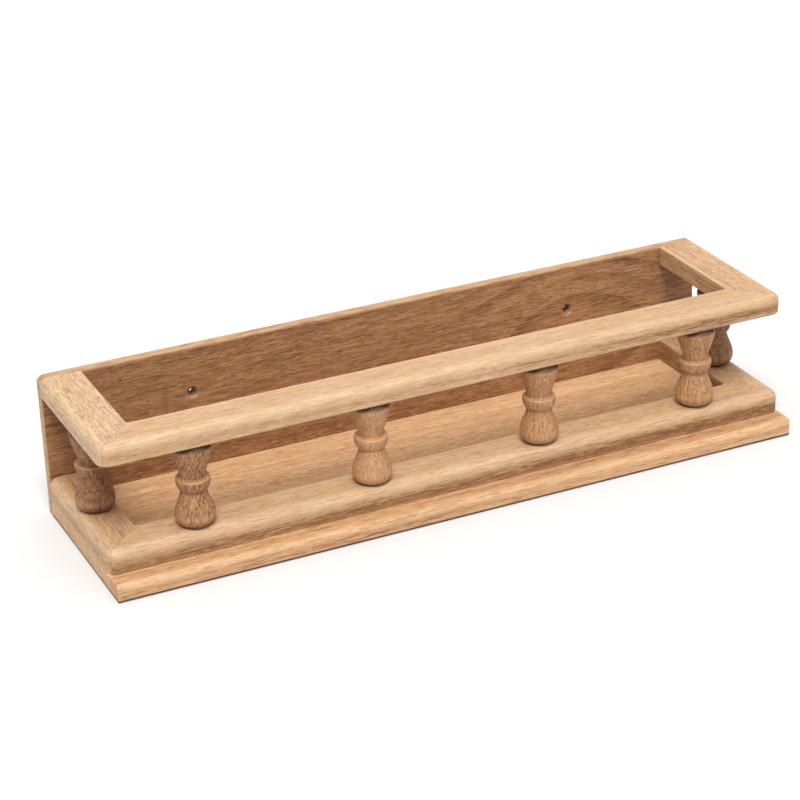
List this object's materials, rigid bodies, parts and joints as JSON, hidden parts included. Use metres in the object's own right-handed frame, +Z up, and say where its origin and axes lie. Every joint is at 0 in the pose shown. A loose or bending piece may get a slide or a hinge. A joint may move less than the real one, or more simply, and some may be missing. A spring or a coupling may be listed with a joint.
{
  "type": "newspaper rack",
  "caption": "Wall-hung wooden newspaper rack: a long shallow tray with a plain back panel, a stepped base and a mitred gallery rail on turned spindles.",
  "frame": {"origin": "bottom centre of the bounding box, on the underside of the base board", "axes": "+X along the rack to the right as seen from the front, +Y towards the wall, +Z up"},
  "size_m": [0.45, 0.127, 0.0915],
  "materials": {
    "teak_rail": "sanded bare teak, pale honey brown with fine dark pores",
    "teak_board": "sanded bare teak, honey brown",
    "teak_panel": "sanded bare teak, mid brown with dark streaks and an oval cathedral figure",
    "teak_spindle": "turned bare teak, greyish brown with lengthwise streaks",
    "hardwood_key": "plain planed hardwood, hidden",
    "screw_steel": "plain stainless steel"
  },
  "bodies": {
    "root": {"back_panel": "teak_panel", "base_board": "teak_board", "base_front_rail": "teak_rail", "base_left_rail": "teak_rail", "base_right_rail": "teak_rail", "top_front_rail": "teak_rail", "top_left_rail": "teak_rail", "top_right_rail": "teak_rail", "spindle_front_1": "teak_spindle", "spindle_front_2": "teak_spindle", "spindle_front_3": "teak_spindle", "spindle_front_4": "teak_spindle", "spindle_left": "teak_spindle", "spindle_right": "teak_spindle", "mitre_key_left": "hardwood_key", "mitre_key_right": "hardwood_key", "rail_screw_left": "screw_steel", "rail_screw_right": "screw_steel", "base_screw_left": "screw_steel", "base_screw_middle": "screw_steel", "base_screw_right": "screw_steel"}
  },
  "joints": []
}
